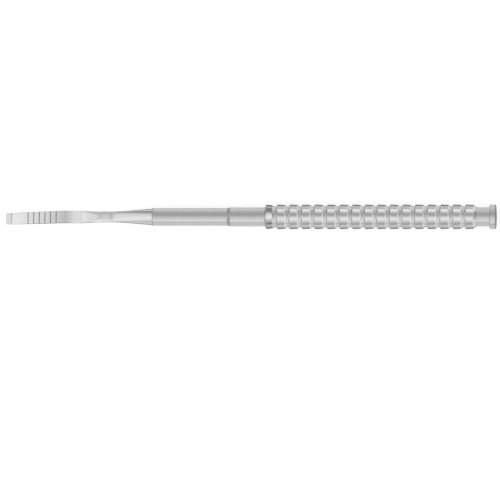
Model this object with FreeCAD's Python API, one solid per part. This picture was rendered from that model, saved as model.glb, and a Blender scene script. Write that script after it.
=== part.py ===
import FreeCAD, Part
import math
import os

# A surgical chisel for bone: a slim bent blade with depth marks, a plain round shaft and a turned,
# ridged handle that ends in a striking head. All three pieces are stainless steel and brazed together.
#
# Millimetres and degrees. The turning axis is X, the middle of the striking face is the origin, the
# cutting edge points towards -X, and Z is up as the chisel lies on a table on its handle and blade tip.

# Striking head and the plain neck in front of it
HEAD_DIAMETER = 8.2
HEAD_LENGTH = 2.0
HEAD_CHAMFER = 0.2
END_NECK_DIAMETER = 6.35
END_NECK_LENGTH = 4.1
END_RAMP_LENGTH = 1.0

# Ridged grip. The ridge next to the collar is narrower than the others
RIDGE_COUNT = 17
RIDGE_DIAMETER = 8.2
RIDGE_PITCH = 4.21
RIDGE_WIDTH = 2.6
FIRST_RIDGE_WIDTH = 2.1
RIDGE_FLANK_LENGTH = 0.3
FIRST_FLANK_LENGTH = 0.5
GROOVE_DIAMETER = 7.2

# Collar, the plain front end of the handle
COLLAR_DIAMETER = 6.35
COLLAR_LENGTH = 12.6
NOSE_CHAMFER_LENGTH = 1.0

# Shaft between the handle and the blade
SHAFT_DIAMETER = 5.9
SHAFT_LENGTH = 25.2
SHAFT_CHAMFER = 0.12

# Brazed joints: a round tang on one piece fills a blind bore in the next
HANDLE_TANG_DIAMETER = 4.0
HANDLE_TANG_LENGTH = 12.0
BLADE_TANG_DIAMETER = 3.0
BLADE_TANG_LENGTH = 8.0
TANG_CHAMFER = 0.3
BRAZING_CLEARANCE = 0.03
BORE_END_GAP = 0.5

# Flare and neck of the blade, from the shaft towards the cutting edge
FLARE_DIAMETER = 5.4
FLARE_LENGTH = 14.2
NECK_LENGTH = 3.0
NECK_WIDTH = 3.6
NECK_BACK_THICKNESS = 2.0
NECK_FRONT_THICKNESS = 1.8
NECK_CORNER_SHARE = 0.8
BLEND_LENGTH = 7.8

# Flat of the blade, its bend and its cutting edge
HEEL_LENGTH = 2.2
HEEL_WIDTH = 4.1
HEEL_THICKNESS = 1.25
BEND_ANGLE = 13.0
BEND_RADIUS = 23.0
STRAIGHT_LENGTH = 17.9
EDGE_WIDTH = 3.8
TIP_THICKNESS = 0.65
UPPER_BEVEL_LENGTH = 1.85
UPPER_BEVEL_DROP = 0.15
LOWER_BEVEL_LENGTH = 2.2

# Depth marks across the upper face, measured from the cutting edge
FIRST_MARK_DISTANCE = 8.0
MARK_STEP = 2.0
MARK_COUNT = 6
MARK_WIDTH = 0.3
MARK_DEPTH = 0.06

# How many sections carry the loft of the blend, the neck and the flare
NECK_SECTION_COUNT = 9

# Share at which four arcs that meet at the corners make a true ellipse or circle
ROUND_CORNER_SHARE = math.cos(math.radians(45))

# Places along the axis that follow from the sizes above
grip_back = -(HEAD_LENGTH + END_NECK_LENGTH + END_RAMP_LENGTH + RIDGE_FLANK_LENGTH)
grip_front = grip_back - FIRST_RIDGE_WIDTH - (RIDGE_COUNT - 1) * RIDGE_PITCH
collar_back = grip_front - FIRST_FLANK_LENGTH
nose = collar_back - COLLAR_LENGTH
shaft_front = nose - SHAFT_LENGTH
neck_back = shaft_front - FLARE_LENGTH
neck_front = neck_back - NECK_LENGTH
heel = neck_front - BLEND_LENGTH
bend_back = heel - HEEL_LENGTH

Vector = FreeCAD.Vector
AXIS = Vector(1, 0, 0)


def turned(corners):
    """Solid of revolution about the X axis, from (x, radius, chamfer) corners of half its outline."""
    places = [Vector(x, 0, radius) for x, radius, chamfer in corners]
    points = []
    for index, (x, radius, chamfer) in enumerate(corners):
        place = places[index]
        if chamfer > 0:
            back = (places[index - 1] - place).normalize()
            ahead = (places[(index + 1) % len(places)] - place).normalize()
            points.extend([place + back * chamfer, place + ahead * chamfer])
        else:
            points.append(place)
    points.append(points[0])
    return Part.Face(Part.makePolygon(points)).revolve(Vector(0, 0, 0), AXIS, 360)


def bore(front, diameter, depth):
    """Round blind bore that opens at x = front and runs towards the head."""
    return Part.makeCylinder(diameter / 2, depth, Vector(front, 0, 0), AXIS)


def ridge_corners():
    """Corners of the grip's outline, from the first ridge to the last."""
    crest = RIDGE_DIAMETER / 2
    floor = GROOVE_DIAMETER / 2
    corners = []
    for index in range(RIDGE_COUNT):
        crest_back = grip_front + FIRST_RIDGE_WIDTH + index * RIDGE_PITCH
        crest_front = crest_back - RIDGE_WIDTH
        if index == 0:
            crest_front = grip_front
        else:
            corners.append((crest_front - RIDGE_FLANK_LENGTH, floor, 0))
        corners.append((crest_front, crest, 0))
        corners.append((crest_back, crest, 0))
        corners.append((crest_back + RIDGE_FLANK_LENGTH, floor, 0))
    return corners


def make_handle():
    """Handle: chamfered nose, collar, ridged grip, end neck and striking head, turned in one piece."""
    collar = COLLAR_DIAMETER / 2
    end_neck = END_NECK_DIAMETER / 2
    head = HEAD_DIAMETER / 2
    corners = [(nose, 0, 0), (nose, SHAFT_DIAMETER / 2, 0), (nose + NOSE_CHAMFER_LENGTH, collar, 0)]
    corners.append((collar_back, collar, 0))
    corners.extend(ridge_corners())
    corners.append((grip_back + RIDGE_FLANK_LENGTH + END_RAMP_LENGTH, end_neck, 0))
    corners.append((-HEAD_LENGTH, end_neck, 0))
    corners.append((-HEAD_LENGTH, head, HEAD_CHAMFER))
    corners.append((0, head, HEAD_CHAMFER))
    corners.append((0, 0, 0))
    diameter = HANDLE_TANG_DIAMETER + 2 * BRAZING_CLEARANCE
    return turned(corners).cut(bore(nose, diameter, HANDLE_TANG_LENGTH + BORE_END_GAP))


def make_shaft():
    """Shaft: a plain bar whose tang fills the handle's bore, with a bore for the blade's own tang."""
    bar = SHAFT_DIAMETER / 2
    tang = HANDLE_TANG_DIAMETER / 2
    tang_end = nose + HANDLE_TANG_LENGTH
    corners = [(shaft_front, 0, 0), (shaft_front, bar, SHAFT_CHAMFER), (nose, bar, 0)]
    corners.append((nose, tang, 0))
    corners.append((tang_end, tang, TANG_CHAMFER))
    corners.append((tang_end, 0, 0))
    diameter = BLADE_TANG_DIAMETER + 2 * BRAZING_CLEARANCE
    return turned(corners).cut(bore(shaft_front, diameter, BLADE_TANG_LENGTH + BORE_END_GAP))


def cross_section(x, width, thickness, corner_share):
    """Wire across the neck: four arcs, which are straight at a corner share of 1 and round at cos 45."""
    across = Vector(0, width / 2, 0)
    upward = Vector(0, 0, thickness / 2)
    middle = Vector(x, 0, 0)
    sides = [upward, across, -upward, -across]
    edges = []
    for index, side in enumerate(sides):
        start = middle + (side + sides[index - 1]) * corner_share
        end = middle + (side + sides[(index + 1) % len(sides)]) * corner_share
        if corner_share == 1:
            edges.append(Part.LineSegment(start, end).toShape())
        else:
            edges.append(Part.Arc(start, middle + side, end).toShape())
    return Part.Wire(edges)


def between(first, last, share):
    """Value that goes from first to last as share goes from 0 to 1."""
    return first + (last - first) * share


def neck_sizes(x):
    """Width, thickness and corner share at x: flat at the heel, oval at the neck, round at the shaft."""
    heel_end = (HEEL_WIDTH, HEEL_THICKNESS, 1)
    neck_start = (NECK_WIDTH, NECK_FRONT_THICKNESS, NECK_CORNER_SHARE)
    neck_end = (NECK_WIDTH, NECK_BACK_THICKNESS, NECK_CORNER_SHARE)
    flare_end = (FLARE_DIAMETER, FLARE_DIAMETER, ROUND_CORNER_SHARE)
    if x < neck_front:
        share = (x - heel) / BLEND_LENGTH
        first, last, eased = heel_end, neck_start, share * share * (3 - 2 * share)
    elif x < neck_back:
        first, last, eased = neck_start, neck_end, (x - neck_front) / NECK_LENGTH
    else:
        share = (x - neck_back) / FLARE_LENGTH
        first, last, eased = neck_end, flare_end, share * share * (2 - share)
    return [between(a, b, eased) for a, b in zip(first, last)]


def make_neck():
    """Blend, neck and flare: one smooth loft through evenly spaced sections."""
    sections = []
    for index in range(NECK_SECTION_COUNT):
        x = between(heel, shaft_front, index / (NECK_SECTION_COUNT - 1))
        sections.append(cross_section(x, *neck_sizes(x)))
    return Part.makeLoft(sections, True, False)


def half_thickness(distance):
    """Half the blade's thickness at a distance from the cutting edge: a wedge between bevel and bend."""
    share = (distance - UPPER_BEVEL_LENGTH) / (STRAIGHT_LENGTH - UPPER_BEVEL_LENGTH)
    return between(TIP_THICKNESS, HEEL_THICKNESS, share) / 2


def on_blade(distance, height):
    """Point at a distance from the cutting edge along the straight blade, and a height over its middle."""
    angle = math.radians(BEND_ANGLE)
    start = Vector(bend_back - BEND_RADIUS * math.sin(angle), 0, BEND_RADIUS * (math.cos(angle) - 1))
    forward = Vector(-math.cos(angle), 0, -math.sin(angle))
    upward = Vector(-math.sin(angle), 0, math.cos(angle))
    return start + forward * (STRAIGHT_LENGTH - distance) + upward * height


def on_bend(turn, height):
    """Point on the bend at a turn in degrees from its back end, and a height over the blade's middle."""
    angle = math.radians(turn)
    centre = Vector(bend_back, 0, -BEND_RADIUS)
    return centre + Vector(-math.sin(angle), 0, math.cos(angle)) * (BEND_RADIUS + height)


def side_face():
    """Side outline of the flat blade in the XZ plane: heel, bend, wedge and the two bevels of the edge."""
    half = HEEL_THICKNESS / 2
    heel_top = Vector(heel, 0, half)
    heel_bottom = Vector(heel, 0, -half)
    tip_top = on_blade(UPPER_BEVEL_LENGTH, half_thickness(UPPER_BEVEL_LENGTH))
    tip_edge = on_blade(0, half_thickness(UPPER_BEVEL_LENGTH) - UPPER_BEVEL_DROP)
    tip_bottom = on_blade(LOWER_BEVEL_LENGTH, -half_thickness(LOWER_BEVEL_LENGTH))
    lines = [
        (heel_bottom, heel_top),
        (heel_top, on_bend(0, half)),
        (on_bend(BEND_ANGLE, half), tip_top),
        (tip_top, tip_edge),
        (tip_edge, tip_bottom),
        (tip_bottom, on_bend(BEND_ANGLE, -half)),
        (on_bend(0, -half), heel_bottom),
    ]
    edges = [Part.LineSegment(first, last).toShape() for first, last in lines]
    for height in (half, -half):
        middle = on_bend(BEND_ANGLE / 2, height)
        edges.append(Part.Arc(on_bend(0, height), middle, on_bend(BEND_ANGLE, height)).toShape())
    return Part.Face(Part.Wire(Part.sortEdges(edges)[0]))


def plan_prism():
    """Upright prism over the blade's plan, which narrows a little from the heel to the cutting edge."""
    tip = on_blade(0, half_thickness(0))
    depth = HEEL_THICKNESS - tip.z
    corners = [
        (tip.x, -EDGE_WIDTH / 2),
        (heel, -HEEL_WIDTH / 2),
        (heel, HEEL_WIDTH / 2),
        (tip.x, EDGE_WIDTH / 2),
        (tip.x, -EDGE_WIDTH / 2),
    ]
    polygon = Part.makePolygon([Vector(x, y, -depth) for x, y in corners])
    return Part.Face(polygon).extrude(Vector(0, 0, 2 * depth))


def depth_mark(distance):
    """Bar that engraves one depth mark across the upper face."""
    floor = half_thickness(distance) - MARK_DEPTH
    near = distance - MARK_WIDTH / 2
    far = distance + MARK_WIDTH / 2
    over = HEEL_THICKNESS
    corners = [on_blade(near, floor), on_blade(far, floor), on_blade(far, over), on_blade(near, over)]
    corners.append(corners[0])
    bar = Part.Face(Part.makePolygon(corners)).extrude(Vector(0, HEEL_WIDTH, 0))
    bar.translate(Vector(0, -HEEL_WIDTH / 2, 0))
    return bar


def make_blade():
    """Working end: bent flat blade, oval neck, round flare and the tang that fills the shaft's bore."""
    plate = side_face().extrude(Vector(0, HEEL_WIDTH, 0))
    plate.translate(Vector(0, -HEEL_WIDTH / 2, 0))
    plate = plate.common(plan_prism())
    marks = [depth_mark(FIRST_MARK_DISTANCE + index * MARK_STEP) for index in range(MARK_COUNT)]
    plate = plate.cut(Part.makeCompound(marks))
    radius = BLADE_TANG_DIAMETER / 2
    tang_end = shaft_front + BLADE_TANG_LENGTH
    tang_corners = [(shaft_front, 0, 0), (shaft_front, radius, 0)]
    tang_corners.append((tang_end, radius, TANG_CHAMFER))
    tang_corners.append((tang_end, 0, 0))
    return plate.fuse([make_neck(), turned(tang_corners)])


def main():
    os.makedirs("parts", exist_ok=True)
    pieces = {"handle": make_handle(), "shaft": make_shaft(), "blade": make_blade()}
    for name, shape in pieces.items():
        shape.exportStep(f"parts/{name}.step")
        box = shape.BoundBox
        print(name, len(shape.Solids), "solid", shape.isValid(), round(shape.Volume, 2), "mm3")
        print("  x", round(box.XMin, 2), round(box.XMax, 2), "z", round(box.ZMin, 2), round(box.ZMax, 2))


main()
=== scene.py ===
"""Looks of a surgical chisel: turned and ground steel over the three nodes of the frame.

Sizes in the classes are millimetres and degrees, in the frame's own axes: the turning axis is X, the middle
of the striking face is the origin, the cutting edge points towards -X and Z is up. Every mesh, lamp and
camera is turned into metres as it is made.
"""

import logging
import math
from dataclasses import dataclass
from enum import Enum, IntEnum
from typing import Any, Optional, Sequence, Union

import bpy
import numpy as np
from mathutils import Matrix, Vector


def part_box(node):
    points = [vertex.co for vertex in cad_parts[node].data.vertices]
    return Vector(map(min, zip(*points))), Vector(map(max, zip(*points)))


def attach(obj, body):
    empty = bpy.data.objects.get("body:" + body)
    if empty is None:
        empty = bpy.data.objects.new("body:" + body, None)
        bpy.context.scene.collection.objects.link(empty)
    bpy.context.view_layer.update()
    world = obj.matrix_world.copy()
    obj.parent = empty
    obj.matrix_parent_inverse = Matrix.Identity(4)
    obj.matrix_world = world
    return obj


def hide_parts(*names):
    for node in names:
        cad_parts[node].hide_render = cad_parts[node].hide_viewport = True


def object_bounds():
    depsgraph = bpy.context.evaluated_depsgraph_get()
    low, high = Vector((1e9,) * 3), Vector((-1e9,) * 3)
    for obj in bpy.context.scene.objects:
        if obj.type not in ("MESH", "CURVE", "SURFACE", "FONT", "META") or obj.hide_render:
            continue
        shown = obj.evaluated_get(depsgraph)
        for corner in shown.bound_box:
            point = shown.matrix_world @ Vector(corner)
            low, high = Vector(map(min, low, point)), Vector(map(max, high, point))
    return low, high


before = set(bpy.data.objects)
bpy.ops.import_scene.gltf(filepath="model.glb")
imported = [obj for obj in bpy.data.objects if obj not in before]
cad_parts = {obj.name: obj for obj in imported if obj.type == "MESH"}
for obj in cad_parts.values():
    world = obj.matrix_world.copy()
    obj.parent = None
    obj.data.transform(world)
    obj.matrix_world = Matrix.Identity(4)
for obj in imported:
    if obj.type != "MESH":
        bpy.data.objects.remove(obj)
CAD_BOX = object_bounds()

LOG = logging.getLogger("chisel")
MM = 0.001
PHOTO_SIDE_PX = 500
NOISE_ROUGHNESS = 0.6
NEARLY_ZERO = 1e-9
MERGE_DISTANCE = 1e-6
EDGE_MARGIN = 0.01

Key = Union[str, int]
Corner = tuple[float, float, float]
Stops = tuple[tuple[float, float], ...]


def box_mm(node: str) -> tuple[np.ndarray, np.ndarray]:
    """Lowest and highest corner of a node of the frame, in millimetres."""
    low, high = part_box(node)
    return np.array(low) / MM, np.array(high) / MM


class Shade:
    """A shader socket that takes part in Python arithmetic, each step of which adds a Math node."""

    def __init__(self, graph: "Graph", socket: bpy.types.NodeSocket) -> None:
        """Keeps the socket and the graph that it belongs to."""
        self.graph = graph
        self.socket = socket

    def __add__(self, other: Any) -> "Shade":
        """Sum."""
        return self.graph.math("ADD", self, other)

    def __radd__(self, other: Any) -> "Shade":
        """Sum with a number on the left."""
        return self.graph.math("ADD", other, self)

    def __sub__(self, other: Any) -> "Shade":
        """Difference."""
        return self.graph.math("SUBTRACT", self, other)

    def __rsub__(self, other: Any) -> "Shade":
        """Difference with a number on the left."""
        return self.graph.math("SUBTRACT", other, self)

    def __mul__(self, other: Any) -> "Shade":
        """Product."""
        return self.graph.math("MULTIPLY", self, other)

    def __rmul__(self, other: Any) -> "Shade":
        """Product with a number on the left."""
        return self.graph.math("MULTIPLY", other, self)

    def __truediv__(self, other: Any) -> "Shade":
        """Quotient."""
        return self.graph.math("DIVIDE", self, other)

    def __rtruediv__(self, other: Any) -> "Shade":
        """Quotient with a number on the left."""
        return self.graph.math("DIVIDE", other, self)

    def rise(self, start: float, end: float) -> "Shade":
        """Smooth step, eased at both ends. It falls where start is above end.

        Args:
            start: Value at which the step is 0.
            end: Value at which the step is 1.

        Returns:
            The step.
        """
        low, high = min(start, end), max(start, end)
        first, last = (0.0, 1.0) if start < end else (1.0, 0.0)
        inputs = {"Value": self, "From Min": low, "From Max": high, "To Min": first, "To Max": last}
        node = self.graph.node("MapRange", {"interpolation_type": "SMOOTHSTEP"}, inputs)
        return Shade(self.graph, node.outputs["Result"])


class Graph:
    """A node tree that is being built."""

    def __init__(self, tree: bpy.types.NodeTree) -> None:
        """Empties the tree."""
        self.tree = tree
        tree.nodes.clear()

    def node(
        self, kind: str, settings: Optional[dict[str, Any]] = None, inputs: Optional[dict[Key, Any]] = None
    ) -> bpy.types.Node:
        """Adds one node.

        Args:
            kind: Node type without its ShaderNode prefix.
            settings: The node's own properties, set before its sockets. A ramp's stops are pairs of place
                and level.
            inputs: Number, colour, shade or socket for each input, by name or place.

        Returns:
            The new node.
        """
        node = self.tree.nodes.new("ShaderNode" + kind)
        settings = dict(settings or {})
        stops = settings.pop("stops", ())
        for name, value in settings.items():
            setattr(node, name, value)
        for index, (place, level) in enumerate(stops):
            ramp = node.color_ramp
            stop = ramp.elements[index] if index < 2 else ramp.elements.new(place)
            stop.position = place
            stop.color = (level, level, level, 1.0)
        for key, value in (inputs or {}).items():
            usable = [socket for socket in node.inputs if socket.enabled and socket.name == key]
            target = node.inputs[key] if isinstance(key, int) else usable[0]
            if isinstance(value, Shade):
                self.tree.links.new(value.socket, target)
            elif isinstance(value, bpy.types.NodeSocket):
                self.tree.links.new(value, target)
            else:
                target.default_value = value
        return node

    def math(self, operation: str, *values: Any) -> Shade:
        """Adds one Math node.

        Args:
            operation: Name of the Math node's operation.
            values: Its inputs in order, as numbers, shades or sockets.

        Returns:
            The node's result.
        """
        node = self.node("Math", {"operation": operation}, dict(enumerate(values)))
        return Shade(self, node.outputs[0])

    def parts(self, vector: bpy.types.NodeSocket) -> tuple[Shade, Shade, Shade]:
        """X, Y and Z of a vector."""
        node = self.node("SeparateXYZ", inputs={"Vector": vector})
        return tuple(Shade(self, socket) for socket in node.outputs)

    def vector(self, x: Any, y: Any, z: Any) -> bpy.types.NodeSocket:
        """Vector of three numbers or shades."""
        return self.node("CombineXYZ", inputs={"X": x, "Y": y, "Z": z}).outputs[0]

    def grain(self, vector: bpy.types.NodeSocket, detail: float) -> Shade:
        """Noise about 0.5 at a place."""
        inputs = {"Vector": vector, "Scale": 1.0, "Detail": detail, "Roughness": NOISE_ROUGHNESS}
        return Shade(self, self.node("TexNoise", inputs=inputs).outputs[0])

    def levels(self, value: Shade, stops: Stops) -> Shade:
        """Level at a value, eased between stops.

        Args:
            value: Value in the stops' own unit.
            stops: Values in rising order, each with its level.

        Returns:
            The level.
        """
        first, last = stops[0][0], stops[-1][0]
        brightest = max(level for _, level in stops)
        places = [((place - first) / (last - first), level / brightest) for place, level in stops]
        ends = [places[0], places[-1], *places[1:-1]]
        share = (value - first) / (last - first)
        ramp = self.node("ValToRGB", {"stops": ends}, {"Fac": share})
        ramp.color_ramp.interpolation = "EASE"
        return Shade(self, ramp.outputs["Color"]) * brightest

    def grey(self, value: Shade) -> bpy.types.NodeSocket:
        """Neutral colour as bright as a shade."""
        inputs = {"Factor": value, "A": (0.0, 0.0, 0.0, 1.0), "B": (1.0, 1.0, 1.0, 1.0)}
        return self.node("Mix", {"data_type": "RGBA"}, inputs).outputs[2]


def new_material(name: str) -> tuple[bpy.types.Material, Graph]:
    """Makes a material.

    Args:
        name: Its name.

    Returns:
        The material, and the empty graph of its nodes.
    """
    material = bpy.data.materials.new(name)
    material.use_nodes = True
    return material, Graph(material.node_tree)


class Lay(Enum):
    """Which way the tool that made a surface left its fine lines."""

    ROUND = "rings round the turning axis"
    ALONG = "lines along the blade"


@dataclass(frozen=True)
class Steel:
    """Stainless steel with the fine lines of its last cut.

    The lines are noise that is squeezed across their lay to the line pitch and drawn out along it. They
    change the roughness and the height; slower streaks with the same lay change the colour. The shares
    along the axis are places on it, each with a share of the brightness: painted shade and painted
    highlight that stand in for how the light falls along the piece.
    """

    name: str
    brightness: float
    roughness: float
    edge_tint: float
    lay: Lay = Lay.ROUND
    line_pitch: float = 0.09
    line_height: float = 0.0015
    line_detail: float = 3.0
    streak_pitch: float = 0.9
    streak_detail: float = 2.0
    line_reach: float = 14.0
    roughness_spread: float = 0.05
    brightness_spread: float = 0.035
    painted_shades_along: Stops = ()

    def noise(self, graph: Graph, pitch: float, detail: float) -> Shade:
        """Noise that is fine across the lay and drawn out along it.

        Args:
            graph: Graph that takes its nodes.
            pitch: Distance from line to line.
            detail: How many finer layers it has.

        Returns:
            The noise, about 0.5.
        """
        x, y, z = graph.parts(graph.node("TexCoord").outputs["Object"])
        fine = 1.0 / (pitch * MM)
        slow = 1.0 / (self.line_reach * MM)
        if self.lay is Lay.ROUND:
            return graph.grain(graph.vector(x * fine, y * slow, z * slow), detail)
        return graph.grain(graph.vector(x * slow, y * fine, z * slow), detail)

    def material(self) -> bpy.types.Material:
        """Makes the material.

        Returns:
            The new material.
        """
        material, graph = new_material(self.name)
        lines = self.noise(graph, self.line_pitch, self.line_detail)
        streaks = self.noise(graph, self.streak_pitch, self.streak_detail)
        height = {"Strength": 1.0, "Distance": self.line_height * MM, "Height": lines}
        bump = graph.node("Bump", inputs=height)
        brightness = self.brightness + (streaks - 0.5) * self.brightness_spread
        # the shares along the axis paint shade and highlight into the colour
        if self.painted_shades_along:
            x, _, _ = graph.parts(graph.node("TexCoord").outputs["Object"])
            brightness = brightness * graph.levels(x * (1.0 / MM), self.painted_shades_along)
        inputs = {
            "Base Color": graph.grey(brightness),
            "Metallic": 1.0,
            "Roughness": self.roughness + (lines - 0.5) * self.roughness_spread,
            "Specular Tint": (self.edge_tint, self.edge_tint, self.edge_tint, 1.0),
            "Normal": bump.outputs[0],
        }
        shader = graph.node("BsdfPrincipled", inputs=inputs)
        graph.node("OutputMaterial", inputs={"Surface": shader.outputs[0]})
        return material


@dataclass(frozen=True)
class EtchingAndPaintedShade:
    """Etched marks' dark, dull oxide; also painted shade behind the bevel and on the handle's dark lines."""

    name: str
    brightness: float
    roughness: float = 0.55
    metallic: float = 0.6
    grain_pitch: float = 0.05
    grain_detail: float = 2.0
    brightness_spread: float = 0.03
    roughness_spread: float = 0.2

    def material(self) -> bpy.types.Material:
        """Makes the material: a dark grey that a fine grain mottles.

        Returns:
            The new material.
        """
        material, graph = new_material(self.name)
        place = graph.node("TexCoord").outputs["Object"]
        fine = 1.0 / (self.grain_pitch * MM)
        scaled = graph.node("VectorMath", {"operation": "SCALE"}, {"Vector": place, "Scale": fine})
        grain = graph.grain(scaled.outputs[0], self.grain_detail) - 0.5
        inputs = {
            "Base Color": graph.grey(self.brightness + grain * self.brightness_spread),
            "Metallic": self.metallic,
            "Roughness": self.roughness + grain * self.roughness_spread,
        }
        shader = graph.node("BsdfPrincipled", inputs=inputs)
        graph.node("OutputMaterial", inputs={"Surface": shader.outputs[0]})
        return material


@dataclass(frozen=True)
class PaleFloor:
    """Plain white floor that keeps the shadow, and whose lift makes it white where the light is full."""

    name: str = "pale_floor"
    brightness: float = 0.5
    lift: float = 0.62

    def material(self) -> bpy.types.Material:
        """Makes the material: the lift shows to the camera and in reflections, and lights nothing else.

        Returns:
            The new material.
        """
        material, graph = new_material(self.name)
        path = graph.node("LightPath")
        seen = Shade(graph, path.outputs["Is Camera Ray"])
        for name in ("Is Glossy Ray", "Is Transmission Ray"):
            seen = graph.math("MAXIMUM", seen, path.outputs[name])
        base = graph.node("BsdfDiffuse", inputs={"Color": (self.brightness,) * 3 + (1.0,)})
        glow = graph.node("Emission", inputs={"Strength": seen * self.lift})
        both = graph.node("AddShader", inputs={0: base.outputs[0], 1: glow.outputs[0]})
        graph.node("OutputMaterial", inputs={"Surface": both.outputs[0]})
        return material


def rounded_outline(corners: Sequence[Corner], steps: int, hold: float = 0.04) -> np.ndarray:
    """Rounds the corners of half a turned outline.

    With u and v the unit vectors from a corner to its neighbours and w the angle between them, the arc of
    radius r starts r / tan(w / 2) along u and ends as far along v, and its centre is r / sin(w / 2) along
    their bisector. The points between turn evenly about the centre: with s from 0 to 1 and t = pi - w, they
    are the centre plus (sin((1 - s) t) * first + sin(s t) * last) / sin(t). One more point on the straight
    at either side of the arc keeps the shading of the straight even.

    Args:
        corners: Place along the axis, distance from the axis and arc radius of each corner, in order.
        steps: Number of points on each arc.
        hold: Distance of the two points on the straights from the arc.

    Returns:
        One row (place along the axis, distance from it) for each point, without doubles.
    """
    table = np.array(corners, float)
    place, radius = table[:, :2], table[:, 2:3]

    def unit(vectors: np.ndarray) -> np.ndarray:
        """Vectors at length 1."""
        return vectors / np.maximum(np.linalg.norm(vectors, axis=1, keepdims=True), NEARLY_ZERO)

    before = unit(np.roll(place, 1, axis=0) - place)
    after = unit(np.roll(place, -1, axis=0) - place)
    angle = np.arccos(np.clip((before * after).sum(axis=1, keepdims=True), -1.0, 1.0))
    reach = radius / np.tan(angle / 2)
    centre = place + unit(before + after) * radius / np.sin(angle / 2)
    first = place + before * reach - centre
    last = place + after * reach - centre
    turn = (math.pi - angle)[:, None]
    share = np.linspace(0.0, 1.0, steps)[None, :, None]
    mixed = np.sin((1 - share) * turn) * first[:, None] + np.sin(share * turn) * last[:, None]
    arcs = centre[:, None] + mixed / np.maximum(np.sin(turn), NEARLY_ZERO)
    held = [place + way * (reach + hold) for way in (before, after)]
    points = np.concatenate([held[0][:, None], arcs, held[1][:, None]], axis=1).reshape(-1, 2)[1:-1]
    apart = np.linalg.norm(np.diff(points, axis=0), axis=1) > MERGE_DISTANCE
    return points[np.concatenate([[True], apart])]


def closed_grid(
    name: str,
    rings: np.ndarray,
    ends: np.ndarray,
    finishes: Sequence[bpy.types.Material],
    choice: np.ndarray,
    sharp: float = 35.0,
) -> bpy.types.Object:
    """Makes a closed mesh from rings of points, with a fan of triangles to a point at each end.

    Ring i and place j give vertex i * columns + j. Each quad joins places j and j + 1 of rings i and i + 1,
    and the last place joins the first, so that faces point outwards where the rings go towards +X and
    their places go from +Z to +Y.

    Args:
        name: Name of the new object.
        rings: Points in millimetres, shaped (rings, columns, 3).
        ends: The two end points in millimetres, shaped (2, 3).
        finishes: Materials of the mesh.
        choice: Index of each quad's material, shaped (rings - 1, columns); the closing fan takes the last.
        sharp: Angle in degrees above which an edge stays sharp.

    Returns:
        The new object, linked to the scene.
    """
    count, columns = rings.shape[:2]
    index = np.arange(count * columns).reshape(count, columns)
    beside = np.roll(index, -1, axis=1)
    quads = np.stack([index[:-1], index[1:], beside[1:], beside[:-1]], axis=-1).reshape(-1, 4)
    first, last = count * columns, count * columns + 1
    opening = np.stack([np.full(columns, first), index[0], beside[0]], axis=-1)
    closing = np.stack([index[-1], np.full(columns, last), beside[-1]], axis=-1)
    faces = quads.tolist() + opening.tolist() + closing.tolist()
    vertices = np.concatenate([rings.reshape(-1, 3), ends]) * MM
    mesh = bpy.data.meshes.new(name)
    mesh.from_pydata(vertices.tolist(), [], faces)
    for finish in finishes:
        mesh.materials.append(finish)
    slots = np.zeros(len(faces), np.int32)
    slots[: len(quads)] = choice.reshape(-1)
    slots[len(quads) + columns :] = choice[-1, -1]
    mesh.polygons.foreach_set("material_index", slots)
    mesh.shade_smooth()
    mesh.set_sharp_from_angle(angle=math.radians(sharp))
    mesh.update()
    piece = bpy.data.objects.new(name, mesh)
    bpy.context.scene.collection.objects.link(piece)
    return piece


class Zone(IntEnum):
    """Zones of a turned piece, each numbered by the place of its finish among the piece's materials."""

    BODY = 0
    LINE = 1
    CREST = 2
    FLANK = 3
    FIRST_CREST = 4
    FACE = 5


Band = tuple[float, float, Zone]


def turned_piece(
    name: str,
    outline: np.ndarray,
    finishes: Sequence[bpy.types.Material],
    bands: Sequence[Band],
    columns: int = 144,
) -> bpy.types.Object:
    """Carries half an outline round the X axis.

    Point (x, r) of the outline at turn a becomes (x, r sin a, r cos a). The outline starts and ends on the
    axis.

    Args:
        name: Name of the new object.
        outline: One row (place along the axis, distance from it) for each point.
        finishes: Material of each zone, of which the body covers all that lies in no band.
        bands: Front and back place along the axis of each band, and its zone. A later band covers an
            earlier one. A band that has to hold a face square to the axis reaches past it by the edge
            margin.
        columns: Number of places round the axis.

    Returns:
        The new object.
    """
    turn = np.linspace(0.0, 2 * math.pi, columns, endpoint=False)
    middle = outline[1:-1]
    x = np.repeat(middle[:, :1], columns, axis=1)
    y = middle[:, 1:] * np.sin(turn)
    z = middle[:, 1:] * np.cos(turn)
    ends = np.column_stack([outline[[0, -1], 0], np.zeros((2, 2))])
    between = (middle[:-1, 0] + middle[1:, 0]) / 2
    taken = np.zeros(between.size, int)
    for front, back, zone in bands:
        taken[(between > front) & (between < back)] = zone
    choice = np.repeat(taken[:, None], columns, axis=1)
    return closed_grid(name, np.stack([x, y, z], axis=-1), ends, finishes, choice)


def add_piece(piece: bpy.types.Object, node: str) -> None:
    """Lets a piece stand for a node of the frame and reports it.

    Args:
        piece: The new object.
        node: Name of the node.
    """
    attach(piece, "root")
    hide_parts(node)
    LOG.info("%s stands for %s: %d faces", piece.name, node, len(piece.data.polygons))


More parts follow.
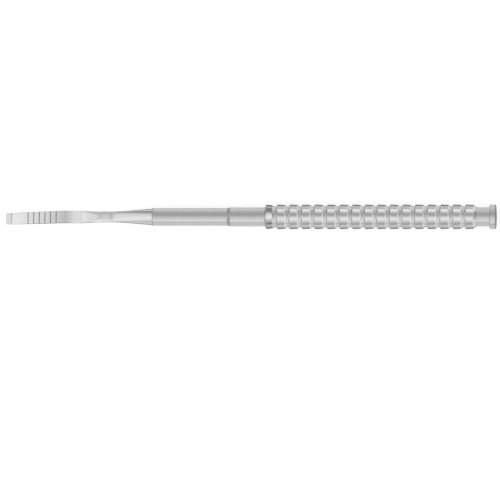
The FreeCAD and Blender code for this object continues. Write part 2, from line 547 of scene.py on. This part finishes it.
@dataclass
class Joint:
    """A brazed joint: a round tang that fills a blind bore."""

    diameter: float
    length: float
    tang_chamfer: float = 0.3
    clearance: float = 0.03
    end_gap: float = 0.5

    def bore(self, mouth: float) -> list[Corner]:
        """Corners of the bore.

        Args:
            mouth: Place of its mouth along the axis.

        Returns:
            Corners from its bottom on the axis to its mouth.
        """
        bottom = mouth + self.length + self.end_gap
        radius = self.diameter / 2 + self.clearance
        return [(bottom, 0.0, 0.0), (bottom, radius, 0.0), (mouth, radius, 0.0)]

    def tang(self, shoulder: float) -> list[Corner]:
        """Corners of the tang.

        Args:
            shoulder: Place of its foot along the axis.

        Returns:
            Corners from its foot to its end on the axis.
        """
        radius = self.diameter / 2
        end = shoulder + self.length
        foot = [(shoulder, radius, 0.0), (end - self.tang_chamfer, radius, 0.0)]
        return foot + [(end, radius - self.tang_chamfer, 0.0), (end, 0.0, 0.0)]


@dataclass(frozen=True)
class Ridge:
    """Front and back place of a ridge's crest, and how far its back edge lies below its front edge."""

    front: float
    back: float
    drop: float


@dataclass
class Handle:
    """Handle: chamfered nose, collar, ridged grip, end neck and striking head, turned in one piece.

    The crests lean towards the head, the first one most. A crest's polish begins on the arc before it, by
    the crest lead. The nose's chamfer and the front of the head carry a dark line of painted shade. The
    flanks are the same steel made brighter, a painted highlight, and the first crest and the striking face
    the same steel made darker, painted shade.
    """

    joint: Joint
    shaft_diameter: float = 5.9
    collar_diameter: float = 6.35
    collar_length: float = 12.6
    nose_chamfer_length: float = 1.0
    nose_edge_width: float = 0.02
    ridge_count: int = 17
    ridge_pitch: float = 4.21
    ridge_width: float = 2.6
    first_ridge_width: float = 2.1
    groove_diameter: float = 7.2
    flank_length: float = 0.3
    first_flank_length: float = 0.5
    end_ramp_length: float = 1.0
    end_neck_diameter: float = 6.35
    head_length: float = 2.0
    head_line_width: float = 0.4
    first_crest_lean: float = 8.0
    crest_lean: float = 3.0
    crest_lead: float = 0.04
    nose_arc: float = 0.1
    crest_arc: float = 0.15
    groove_arc: float = 0.15
    end_neck_arc: float = 0.3
    head_arc: float = 0.2
    arc_steps: int = 5
    body_finish: Steel = Steel("satin_handle_steel", brightness=0.5, roughness=0.2, edge_tint=0.8)
    # the dark line on the nose's chamfer and at the head's front is painted shade
    line_finish: EtchingAndPaintedShade = EtchingAndPaintedShade("nose_and_head_painted_shade", brightness=0.34)
    crest_finish: Steel = Steel("polished_crest", brightness=0.5, roughness=0.14, edge_tint=0.0)
    # the flanks are the same steel made brighter: a painted highlight
    flank_finish: Steel = Steel("flank_painted_highlight", brightness=0.87, roughness=0.3, edge_tint=0.3)
    # the first crest is the same steel made darker: painted shade
    first_crest_finish: Steel = Steel("first_crest_painted_shade", brightness=0.4, roughness=0.12, edge_tint=0.0)
    # the striking face and its rim are the same steel made darker: painted shade on the head's back edge
    face_finish: Steel = Steel("striking_face_painted_shade", brightness=0.36, roughness=0.3, edge_tint=0.3)

    def ridges(self) -> list[Ridge]:
        """Ridges from the collar to the end neck.

        A drop is the crest's width times the tangent of its lean. The first ridge stands behind the collar
        and its flank; the back edges of the others follow its own at the pitch.

        Returns:
            The ridges from the front.
        """
        front = box_mm("handle")[0][0] + self.collar_length + self.first_flank_length
        first_back = front + self.first_ridge_width
        first_drop = self.first_ridge_width * math.tan(math.radians(self.first_crest_lean))
        drop = self.ridge_width * math.tan(math.radians(self.crest_lean))
        backs = [first_back + index * self.ridge_pitch for index in range(1, self.ridge_count)]
        others = [Ridge(back - self.ridge_width, back, drop) for back in backs]
        return [Ridge(front, first_back, first_drop), *others]

    def corners(self) -> list[Corner]:
        """Corners of the outline.

        Returns:
            Corners, each with the radius of its arc, from the bore to the striking face.
        """
        low, high = box_mm("handle")
        nose, crest, face = low[0], high[2], high[0]
        floor = self.groove_diameter / 2
        collar = self.collar_diameter / 2
        neck = self.end_neck_diameter / 2
        corners = self.joint.bore(nose)
        corners.append((nose, self.shaft_diameter / 2, 0.0))
        corners.append((nose + self.nose_chamfer_length, collar, self.nose_arc))
        corners.append((nose + self.collar_length, collar, self.groove_arc))
        for index, ridge in enumerate(self.ridges()):
            if index:
                corners.append((ridge.front - self.flank_length, floor, self.groove_arc))
            corners.append((ridge.front, crest, self.crest_arc))
            corners.append((ridge.back, crest - ridge.drop, self.crest_arc))
            corners.append((ridge.back + self.flank_length, floor, self.groove_arc))
        corners.append((corners[-1][0] + self.end_ramp_length, neck, self.end_neck_arc))
        corners.append((face - self.head_length, neck, 0.0))
        corners += [(face - self.head_length, crest, self.head_arc), (face, crest, self.head_arc)]
        corners.append((face, 0.0, 0.0))
        return corners

    def bands(self) -> list[Band]:
        """Bands of the handle's finishes.

        Returns:
            The bands of all zones but the body.
        """
        low, high = box_mm("handle")
        nose, face = low[0], high[0]
        head = face - self.head_length
        first, *others = self.ridges()
        bands = [
            # painted shade on the nose's chamfer, the head's front and the striking face; a painted
            # highlight on the flanks and painted shade on the first crest
            (nose + self.nose_edge_width, nose + self.nose_chamfer_length, Zone.LINE),
            (head - EDGE_MARGIN, head + self.head_line_width, Zone.LINE),
            (face - self.head_arc, face + EDGE_MARGIN, Zone.FACE),
            (first.front - self.first_flank_length, first.front, Zone.FLANK),
            (first.front - self.crest_lead, first.back, Zone.FIRST_CREST),
        ]
        for ridge in others:
            bands.append((ridge.front - self.flank_length, ridge.back + self.flank_length, Zone.FLANK))
            bands.append((ridge.front - self.crest_lead, ridge.back - self.crest_lead, Zone.CREST))
        return bands

    def build(self) -> None:
        """Makes the handle in place of its node."""
        outline = rounded_outline(self.corners(), self.arc_steps)
        looks = {
            Zone.BODY: self.body_finish,
            Zone.LINE: self.line_finish,
            Zone.CREST: self.crest_finish,
            Zone.FLANK: self.flank_finish,
            Zone.FIRST_CREST: self.first_crest_finish,
            Zone.FACE: self.face_finish,
        }
        finishes = [looks[zone].material() for zone in Zone]
        add_piece(turned_piece("handle_turned", outline, finishes, self.bands()), "handle")


@dataclass
class Shaft:
    """Shaft: a plain round bar with a bore at its front end and a tang at its back end.

    Its front edge carries a dark line, the seam with the blade.
    """

    front_joint: Joint
    back_joint: Joint
    front_arc: float = 0.12
    arc_steps: int = 5
    line_width: float = 0.35
    body_finish: Steel = Steel("satin_shaft_steel", brightness=0.5, roughness=0.2, edge_tint=0.8)
    line_finish: Steel = Steel("front_seam", brightness=0.38, roughness=0.3, edge_tint=0.3)

    def build(self) -> None:
        """Makes the shaft in place of its node."""
        low, high = box_mm("shaft")
        front, radius = low[0], high[2]
        line_end = front + self.line_width
        shoulder = high[0] - self.back_joint.length
        corners = self.front_joint.bore(front)
        corners += [(front, radius, self.front_arc), (line_end, radius, 0.0), (shoulder, radius, 0.0)]
        corners += self.back_joint.tang(shoulder)
        outline = rounded_outline(corners, self.arc_steps)
        finishes = [self.body_finish.material(), self.line_finish.material()]
        bands = [(front - EDGE_MARGIN, line_end, Zone.LINE)]
        add_piece(turned_piece("shaft_turned", outline, finishes, bands), "shaft")


class BladeZone(IntEnum):
    """Zones of the blade, each numbered by the place of its finish among the blade's materials."""

    GROUND = 0
    MARK = 1
    BEVEL_LINE = 2


@dataclass
class Blade:
    """Blade: bent flat working end with two bevels and depth marks, oval neck, round flare and a tang.

    The run is the distance from the cutting edge along the middle of the blade. Each section across it is
    a superellipse, whose corner share is the part of half its width and thickness at which it crosses its
    own diagonals: nearly 1 is a rectangle with softened edges and the cosine of 45 degrees an ellipse.
    """

    joint: Joint
    straight_length: float = 17.9
    bend_angle: float = 13.0
    bend_radius: float = 23.0
    heel_length: float = 2.2
    blend_length: float = 7.8
    neck_length: float = 3.0
    flare_length: float = 14.2
    edge_width: float = 3.8
    heel_width: float = 4.1
    neck_width: float = 3.6
    tip_thickness: float = 0.65
    heel_thickness: float = 1.25
    neck_front_thickness: float = 1.8
    neck_back_thickness: float = 2.0
    upper_bevel_length: float = 1.85
    upper_bevel_drop: float = 0.15
    lower_bevel_length: float = 2.2
    edge_thickness: float = 0.012
    plate_share: float = 0.965
    neck_share: float = 0.8
    round_share: float = math.cos(math.radians(45))
    first_mark: float = 8.0
    mark_step: float = 2.0
    mark_count: int = 6
    mark_width: float = 0.3
    mark_depth: float = 0.06
    wall: float = 0.03
    run_step: float = 0.35
    columns: int = 128
    corner_crowding: float = 1.5
    ground_finish: Steel = Steel(
        name="ground_blade_steel_painted_shade",
        brightness=0.7,
        roughness=0.17,
        edge_tint=0.0,
        lay=Lay.ALONG,
        line_pitch=0.05,
        streak_pitch=0.5,
        # painted shade and painted highlight along the blade: darker towards the bend, brightest over the
        # heel
        painted_shades_along=(
            (-165.0, 0.9),
            (-163.4, 0.9),
            (-162.8, 1.02),
            (-152.0, 0.86),
            (-148.0, 0.77),
            (-144.2, 0.64),
            (-141.4, 1.4),
            (-140.0, 1.4),
            (-139.0, 1.16),
            (-136.0, 0.95),
            (-133.3, 1.0),
            (-131.5, 0.9),
            (-116.0, 0.87),
        ),
    )
    mark_finish: EtchingAndPaintedShade = EtchingAndPaintedShade(name="etched_mark", brightness=0.22)
    # the line behind the bevel is painted shade along the crease between the bevel and the face
    bevel_line_width: float = 0.5
    bevel_line_finish: EtchingAndPaintedShade = EtchingAndPaintedShade(name="bevel_painted_shade_line", brightness=0.53, metallic=1.0)

    def __post_init__(self) -> None:
        """Works out the runs at which one stretch of the blade meets the next."""
        self.bend_end = self.straight_length + self.bend_radius * math.radians(self.bend_angle)
        self.heel = self.bend_end + self.heel_length
        self.neck_front = self.heel + self.blend_length
        self.neck_back = self.neck_front + self.neck_length
        self.shoulder = self.neck_back + self.flare_length

    def runs(self) -> np.ndarray:
        """Runs of all sections.

        Returns:
            Rising distances: an even spacing, and close pairs where a surface turns sharply.
        """
        even = np.arange(self.edge_thickness, self.shoulder, self.run_step)
        line_end = self.upper_bevel_length + self.bevel_line_width
        turns = np.array([self.upper_bevel_length, self.lower_bevel_length, line_end])
        marks = self.first_mark + self.mark_step * np.arange(self.mark_count)
        edges = np.concatenate([marks - self.mark_width / 2, marks + self.mark_width / 2])
        sharp = np.concatenate([turns, edges])
        joints = [self.straight_length, self.bend_end, self.heel, self.shoulder]
        near = np.abs(even[:, None] - sharp).min(axis=1) < 2 * self.wall
        pairs = np.concatenate([sharp - self.wall / 2, sharp + self.wall / 2])
        return np.unique(np.concatenate([even[~near], pairs, joints]))

    def middle(self, run: np.ndarray) -> tuple[np.ndarray, np.ndarray]:
        """Middle line and upward vector of each section.

        Along the bend the slope falls evenly from the bend angle to 0; the line is an arc about a centre
        below its back end, then straight along the axis and, before the bend, straight at the bend angle.

        Args:
            run: Distances from the cutting edge.

        Returns:
            Points and unit vectors, one row each.
        """
        back = box_mm("shaft")[0][0] - (self.shoulder - self.bend_end)
        full = math.radians(self.bend_angle)
        slope = np.clip((self.bend_end - run) / self.bend_radius, 0.0, full)
        before = np.maximum(self.straight_length - run, 0.0)
        after = np.maximum(run - self.bend_end, 0.0)
        x = back - self.bend_radius * np.sin(slope) - before * math.cos(full) + after
        z = self.bend_radius * (np.cos(slope) - 1.0) - before * math.sin(full)
        zero = np.zeros_like(run)
        return np.stack([x, zero, z], axis=1), np.stack([-np.sin(slope), zero, np.cos(slope)], axis=1)

    def eased(self, run: np.ndarray) -> tuple[np.ndarray, np.ndarray]:
        """How far the blend and the flare have come.

        With s from 0 to 1 along each, the blend's share is 3 s^2 - 2 s^3 and the flare's 2 s^2 - s^3.

        Args:
            run: Distances from the cutting edge.

        Returns:
            Shares of the blend and of the flare.
        """
        blend = np.clip((run - self.heel) / self.blend_length, 0.0, 1.0)
        flare = np.clip((run - self.neck_back) / self.flare_length, 0.0, 1.0)
        return blend**2 * (3 - 2 * blend), flare**2 * (2 - flare)

    def widths(self, run: np.ndarray) -> np.ndarray:
        """Width of each section: even growth to the heel, then the blend's and the flare's shares.

        Args:
            run: Distances from the cutting edge.

        Returns:
            The widths.
        """
        blend, flare = self.eased(run)
        plate = np.interp(run, [0.0, self.heel], [self.edge_width, self.heel_width])
        round_end = 2 * box_mm("blade")[1][1]
        return plate + (self.neck_width - self.heel_width) * blend + (round_end - self.neck_width) * flare

    def shares(self, run: np.ndarray) -> np.ndarray:
        """Corner share of each section: the plate's, then the blend's and the flare's shares of the way.

        Args:
            run: Distances from the cutting edge.

        Returns:
            The corner shares.
        """
        blend, flare = self.eased(run)
        neck = (self.neck_share - self.plate_share) * blend
        return self.plate_share + neck + (self.round_share - self.neck_share) * flare

    def heights(self, run: np.ndarray) -> tuple[np.ndarray, np.ndarray]:
        """Top and bottom of each section over the middle line.

        The wedge thickens evenly from the upper bevel to the end of the straight; the blend and the flare
        add their shares of the way to the neck's and the shaft's thickness. Each bevel runs evenly from
        the cutting edge to the full height, and a depth mark lowers the top.

        Args:
            run: Distances from the cutting edge.

        Returns:
            Heights of the top and of the bottom.
        """
        blend, flare = self.eased(run)
        wedge = np.interp(
            run, [self.upper_bevel_length, self.straight_length], [self.tip_thickness, self.heel_thickness]
        )
        slope = (self.heel_thickness - self.tip_thickness) / (self.straight_length - self.upper_bevel_length)
        lower_full = self.tip_thickness + slope * (self.lower_bevel_length - self.upper_bevel_length)
        neck = np.interp(
            run, [self.neck_front, self.neck_back], [self.neck_front_thickness, self.neck_back_thickness]
        )
        round_end = 2 * box_mm("blade")[1][2]
        thick = wedge + (neck - self.heel_thickness) * blend
        half = (thick + (round_end - self.neck_back_thickness) * flare) / 2
        edge = self.tip_thickness / 2 - self.upper_bevel_drop
        top_drop = np.interp(run, [0.0, self.upper_bevel_length], [self.upper_bevel_drop, 0.0])
        lower_bevel = np.interp(run, [0.0, self.lower_bevel_length], [edge, -lower_full / 2])
        bottom = np.where(run < self.lower_bevel_length, lower_bevel, -half)
        top = np.where(run < self.upper_bevel_length, self.tip_thickness / 2 - top_drop, half)
        top = np.maximum(top, bottom + self.edge_thickness)
        return top - self.in_mark(run) * self.mark_depth, bottom

    def in_mark(self, run: np.ndarray) -> np.ndarray:
        """Mask of the runs that lie in a depth mark."""
        marks = self.first_mark + self.mark_step * np.arange(self.mark_count)
        return (np.abs(run[:, None] - marks) < self.mark_width / 2).any(axis=1)

    def directions(self) -> np.ndarray:
        """Directions round a section, from +Z to +Y, closer together near its four corners.

        Each quarter turn about a corner runs over -1 to 1, and its places are raised to the power of the
        corner crowding, with their signs kept.

        Returns:
            Turns from +Z, one for each column.
        """
        place = np.linspace(-1.0, 1.0, self.columns // 4, endpoint=False)
        quarter = np.sign(place) * np.abs(place) ** self.corner_crowding
        return (quarter[None, :] + 1.0 + 2.0 * np.arange(4)[:, None]).reshape(-1) * math.pi / 4

    def rings(self, run: np.ndarray) -> np.ndarray:
        """Points of all sections.

        With the exponent n = log(1/2) / log(corner share), the section's point in direction t is
        (sin t, cos t) / (|sin t|^n + |cos t|^n)^(1/n), times half the width and half the thickness.

        Args:
            run: Distances from the cutting edge.

        Returns:
            Points shaped (sections, columns, 3).
        """
        middle, upward = self.middle(run)
        top, bottom = self.heights(run)
        power = (math.log(0.5) / np.log(self.shares(run)))[:, None]
        side, rise = np.sin(self.directions())[None, :], np.cos(self.directions())[None, :]
        reach = (np.abs(side) ** power + np.abs(rise) ** power) ** (-1.0 / power)
        across = side * reach * self.widths(run)[:, None] / 2
        height = (top + bottom)[:, None] / 2 + rise * reach * (top - bottom)[:, None] / 2
        points = middle[:, None, :] + height[:, :, None] * upward[:, None, :]
        points[:, :, 1] += across
        return points

    def zones(self, run: np.ndarray, tang_rings: int) -> np.ndarray:
        """Zone of each quad of the blade: marks and the painted shade line behind the bevel lie on the upper
        face.

        The upper face is what lies within 45 degrees of +Z. The tang's rings follow the blade's.

        Args:
            run: Distances of the blade's sections from the cutting edge.
            tang_rings: Number of rings of the tang.

        Returns:
            Zones shaped (rings - 1, columns).
        """
        between = (run[:-1] + run[1:]) / 2
        past_bevel = between - self.upper_bevel_length
        rows = np.where(self.in_mark(between), BladeZone.MARK, BladeZone.GROUND)
        rows[(past_bevel > 0) & (past_bevel < self.bevel_line_width)] = BladeZone.BEVEL_LINE
        rows = np.append(rows, np.full(tang_rings, BladeZone.GROUND))
        turn = self.directions()
        beside = np.append(turn[1:], 2 * math.pi)
        upper = np.cos((turn + beside) / 2) > math.cos(math.radians(45))
        return np.where(upper[None, :], rows[:, None], BladeZone.GROUND)

    def build(self) -> None:
        """Makes the blade in place of its node."""
        run = self.runs()
        plate = self.rings(run)
        tang = np.array(self.joint.tang(box_mm("shaft")[0][0]))[:, :2]
        turn = self.directions()
        x = np.repeat(tang[:-1, :1], turn.size, axis=1)
        y = tang[:-1, 1:] * np.sin(turn)
        z = tang[:-1, 1:] * np.cos(turn)
        rings = np.concatenate([plate, np.stack([x, y, z], axis=-1)])
        ends = np.array([plate[0].mean(axis=0), [tang[-1, 0], 0.0, 0.0]])
        looks = (self.ground_finish, self.mark_finish, self.bevel_line_finish)
        finishes = [look.material() for look in looks]
        piece = closed_grid("blade_ground", rings, ends, finishes, self.zones(run, len(x)))
        add_piece(piece, "blade")


@dataclass
class Studio:
    """Plain pale floor, a soft tent of light with one wide lamp, and the camera.

    The tent has four stretches along the instrument: the blade, the plain round surfaces, the ridge crests
    and the first ridge each show one of them, because they lean differently. In each, the level follows the
    angle round the instrument's long axis, from the front horizon over the top to the back horizon. The
    angle out of the plane across it, negative on the blade's side, says how much of each stretch is seen.
    Past the head's side the middle stretch comes back, and the steep ramp behind the last ridge shows it.
    """

    over_blade: Stops = (
        (-90.0, 0.3),
        (-66.0, 0.85),
        (-43.0, 1.12),
        (-25.0, 1.25),
        (-8.0, 1.3),
        (12.0, 1.11),
        (33.0, 0.9),
        (54.0, 0.55),
        (90.0, 0.22),
    )
    over_middle: Stops = (
        (-90.0, 0.55),
        (-82.0, 0.98),
        (-71.0, 1.4),
        (-57.0, 1.36),
        (-41.0, 1.12),
        (-28.0, 0.95),
        (-15.0, 0.8),
        (0.0, 0.66),
        (12.0, 0.54),
        (25.0, 0.49),
        (40.0, 0.5),
        (54.0, 0.6),
        (64.0, 0.76),
        (73.0, 1.0),
        (81.0, 1.35),
        (90.0, 1.7),
    )
    over_crests: Stops = (
        (-90.0, 0.3),
        (-75.0, 0.55),
        (-60.0, 0.8),
        (-43.0, 1.2),
        (-30.0, 1.6),
        (-20.0, 1.55),
        (-8.0, 1.1),
        (4.0, 0.72),
        (14.0, 0.6),
        (24.0, 0.76),
        (36.0, 1.06),
        (50.0, 1.65),
        (62.0, 1.8),
        (76.0, 1.0),
        (90.0, 0.5),
    )
    over_first_ridge: Stops = (
        (-90.0, 0.2),
        (-70.0, 0.5),
        (-50.0, 0.96),
        (-36.0, 1.4),
        (-20.0, 2.0),
        (-5.0, 2.05),
        (10.0, 1.87),
        (24.0, 1.4),
        (40.0, 0.76),
        (55.0, 0.36),
        (90.0, 0.1),
    )
    blade_side: tuple[float, float] = (-7.0, -10.5)
    crest_side: tuple[float, float] = (-3.5, -0.5)
    first_ridge_side: tuple[float, float] = (5.0, 8.0)
    head_side: tuple[float, float] = (17.0, 23.0)
    horizon_level: float = 1.0
    horizon_start: float = 1.5
    horizon_end: float = 4.0
    lamp_strength: float = 0.06
    lamp_angle: float = 40.0
    lamp_along: float = -5.0
    lamp_across: float = -60.0
    floor_side: float = 6000.0
    camera_tilt_along: float = 5.0
    camera_tilt_across: float = 8.0
    clip_share: float = 10.0
    lens: float = 800.0
    left_end_px: float = 5.8
    right_end_px: float = 496.0
    axis_row_px: float = 216.8
    floor_finish: PaleFloor = PaleFloor()

    def tent(self) -> None:
        """Makes the world, which becomes an even white at the horizon."""
        world = bpy.data.worlds.new("studio")
        bpy.context.scene.world = world
        world.use_nodes = True
        graph = Graph(world.node_tree)
        x, y, z = graph.parts(graph.node("TexCoord").outputs["Generated"])
        across = graph.math("ARCTAN2", y, z) * math.degrees(1.0)
        along = graph.math("ARCSINE", x) * math.degrees(1.0)
        blade_side, crest_side = along.rise(*self.blade_side), along.rise(*self.crest_side)
        first_side, head_side = along.rise(*self.first_ridge_side), along.rise(*self.head_side)
        middle = 1.0 - blade_side - crest_side + head_side
        level = graph.levels(across, self.over_middle) * middle
        level = level + graph.levels(across, self.over_blade) * blade_side
        level = level + graph.levels(across, self.over_crests) * (crest_side - first_side)
        level = level + graph.levels(across, self.over_first_ridge) * (first_side - head_side)
        height = graph.math("ARCSINE", z)
        upper = height.rise(math.radians(self.horizon_start), math.radians(self.horizon_end))
        level = self.horizon_level + upper * (level - self.horizon_level)
        background = graph.node("Background", inputs={"Color": (1.0, 1.0, 1.0, 1.0), "Strength": level})
        graph.node("OutputWorld", inputs={"Surface": background.outputs[0]})

    def lamp(self) -> None:
        """Makes the wide lamp, which keeps the shadow soft and faint."""
        lamp = bpy.data.lights.new("wide_lamp", "SUN")
        lamp.energy = self.lamp_strength
        lamp.angle = math.radians(self.lamp_angle)
        holder = bpy.data.objects.new("wide_lamp", lamp)
        bpy.context.scene.collection.objects.link(holder)
        slopes = [math.tan(math.radians(angle)) for angle in (self.lamp_along, self.lamp_across)]
        holder.matrix_world = Vector((*slopes, 1.0)).to_track_quat("Z", "Y").to_matrix().to_4x4()

    def floor(self) -> None:
        """Lays the floor under the striking head's rim and the cutting edge, on which the chisel rests."""
        low = np.array(CAD_BOX[0]) / MM
        head = -box_mm("handle")[1][2]
        slope = (low[2] - head) / low[0]
        half = self.floor_side / 2
        x = np.array([-half, half, half, -half]) + low[0] / 2
        y = np.array([-half, -half, half, half])
        corners = np.stack([x, y, head + slope * x], axis=1) * MM
        mesh = bpy.data.meshes.new("floor")
        mesh.from_pydata(corners.tolist(), [], [(0, 1, 2, 3)])
        mesh.materials.append(self.floor_finish.material())
        piece = bpy.data.objects.new("floor", mesh)
        bpy.context.scene.collection.objects.link(piece)

    def camera(self) -> None:
        """Places the camera so that the two ends and the axis fall on their places in the picture.

        The camera looks down, leaning a little towards the head and the front. Its right-hand vector is
        the axis laid into the picture's plane, so that the axis stays level in the picture. With f the
        lens in pixels, a point that lies a along that vector and b towards the camera from the origin is
        seen at f (a - s) / (d - b) from the middle of the picture, where s is the camera's own place
        along the vector and d its distance. The two ends give two linear equations in s and d.
        """
        tilts = (self.camera_tilt_along, -self.camera_tilt_across)
        back = Vector((*(math.tan(math.radians(tilt)) for tilt in tilts), 1.0)).normalized()
        axis = Vector((1.0, 0.0, 0.0))
        right = (axis - back * axis.dot(back)).normalized()
        up = back.cross(right)
        data = bpy.data.cameras.new("camera")
        data.lens = self.lens
        focus = PHOTO_SIDE_PX * self.lens / data.sensor_width
        low, high = CAD_BOX
        ends = np.array([[low[0], 0.0, low[2]], [high[0], 0.0, 0.0]])
        seen = (np.array([self.left_end_px, self.right_end_px]) - PHOTO_SIDE_PX / 2) / focus
        towards = ends @ np.array(back)
        known = ends @ np.array(right) + seen * towards
        sideways, distance = np.linalg.solve(np.column_stack([np.ones(2), seen]), known)
        upwards = (self.axis_row_px - PHOTO_SIDE_PX / 2) / focus * distance
        place = right * sideways + up * upwards + back * distance
        camera = bpy.data.objects.new("camera", data)
        camera.matrix_world = Matrix.Translation(place) @ Matrix((right, up, back)).transposed().to_4x4()
        data.clip_start, data.clip_end = distance / self.clip_share, distance * self.clip_share
        bpy.context.scene.collection.objects.link(camera)
        bpy.context.scene.camera = camera

    def build(self) -> None:
        """Makes the studio and sets plain colour management."""
        self.tent()
        self.lamp()
        self.floor()
        self.camera()
        bpy.context.scene.view_settings.view_transform = "Standard"
        LOG.info("studio ready")


def main() -> None:
    """Builds the chisel and the studio round it."""
    logging.basicConfig(level=logging.INFO, format="%(name)s: %(message)s")
    handle_joint = Joint(diameter=4.0, length=12.0)
    blade_joint = Joint(diameter=3.0, length=8.0)
    Handle(joint=handle_joint).build()
    Shaft(front_joint=blade_joint, back_joint=handle_joint).build()
    Blade(joint=blade_joint).build()
    Studio().build()


if __name__ == "__main__":
    main()
